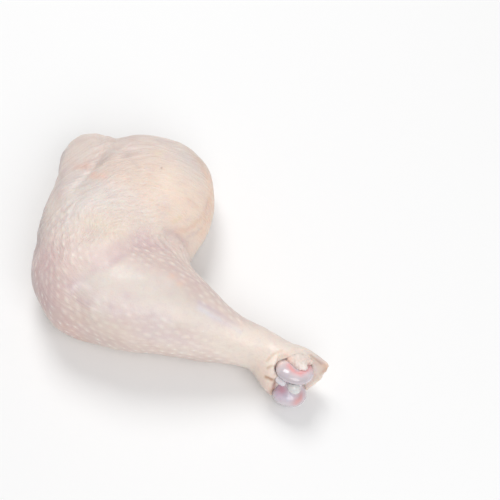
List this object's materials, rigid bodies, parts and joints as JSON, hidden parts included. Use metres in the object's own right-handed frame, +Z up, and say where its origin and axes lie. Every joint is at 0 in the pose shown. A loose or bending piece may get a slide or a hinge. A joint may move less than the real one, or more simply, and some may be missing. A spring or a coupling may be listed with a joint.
{
  "type": "bone-in chicken leg",
  "caption": "Raw chicken leg with skin on and bone in: thigh and drumstick together, lying flat, with the shin bone's jointed end bare in an open sleeve of skin.",
  "frame": {"origin": "centre of the overall box, on the resting plane", "axes": "+Z up from the resting plane; the thigh lies away along +Y, and the drumstick runs to +X and -Y with the bare joint at its end"},
  "size_m": [0.1297, 0.1352, 0.043],
  "materials": {
    "skin": "moist satin, raw",
    "bone": "wet gloss",
    "tendon": "moist satin",
    "cartilage": "wet gloss",
    "ligament": "moist sheen"
  },
  "bodies": {
    "root": {"flesh_and_skin": "skin", "shin_bone": "bone", "tendon_scrap": "tendon", "cartilage_pad": "cartilage", "ligament": "ligament"}
  },
  "joints": []
}
